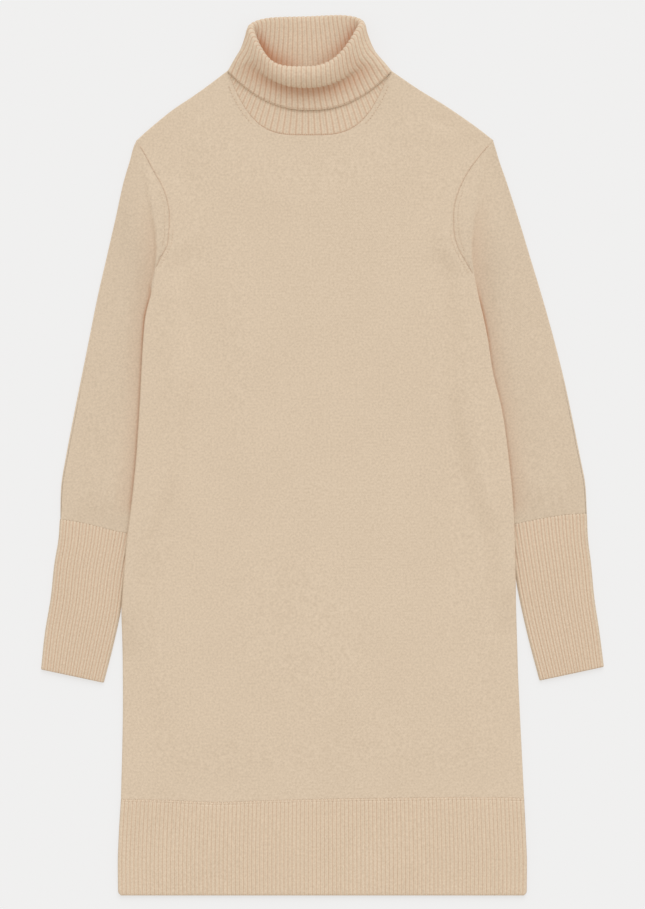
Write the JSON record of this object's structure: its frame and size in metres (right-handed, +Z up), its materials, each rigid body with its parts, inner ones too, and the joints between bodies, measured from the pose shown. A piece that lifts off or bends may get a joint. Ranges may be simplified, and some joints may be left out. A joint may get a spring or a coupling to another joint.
{
  "type": "sweater dress",
  "caption": "Long-sleeved knitted sweater dress with a turned-down roll collar, rib cuffs and a rib hem, laid flat on its back.",
  "frame": {"origin": "middle of the outline, on the surface that the dress lies on", "axes": "+X from the sleeve at the viewer's left to the one at the right, +Y from the hem to the collar, +Z up, out of the front of the dress"},
  "size_m": [0.647, 1.0108, 0.0288],
  "materials": {
    "oatmeal_jersey": "soft, slightly fuzzy fine plain knit, matt oatmeal beige",
    "oatmeal_rib": "soft fine 1x1 rib knit, matt oatmeal beige"
  },
  "bodies": {
    "root": {"body_front": "oatmeal_jersey", "body_back": "oatmeal_jersey", "sleeve_left": "oatmeal_jersey", "sleeve_right": "oatmeal_jersey", "cuff_left": "oatmeal_rib", "cuff_right": "oatmeal_rib", "hem_rib_front": "oatmeal_rib", "hem_rib_back": "oatmeal_rib", "collar": "oatmeal_rib"}
  },
  "joints": []
}
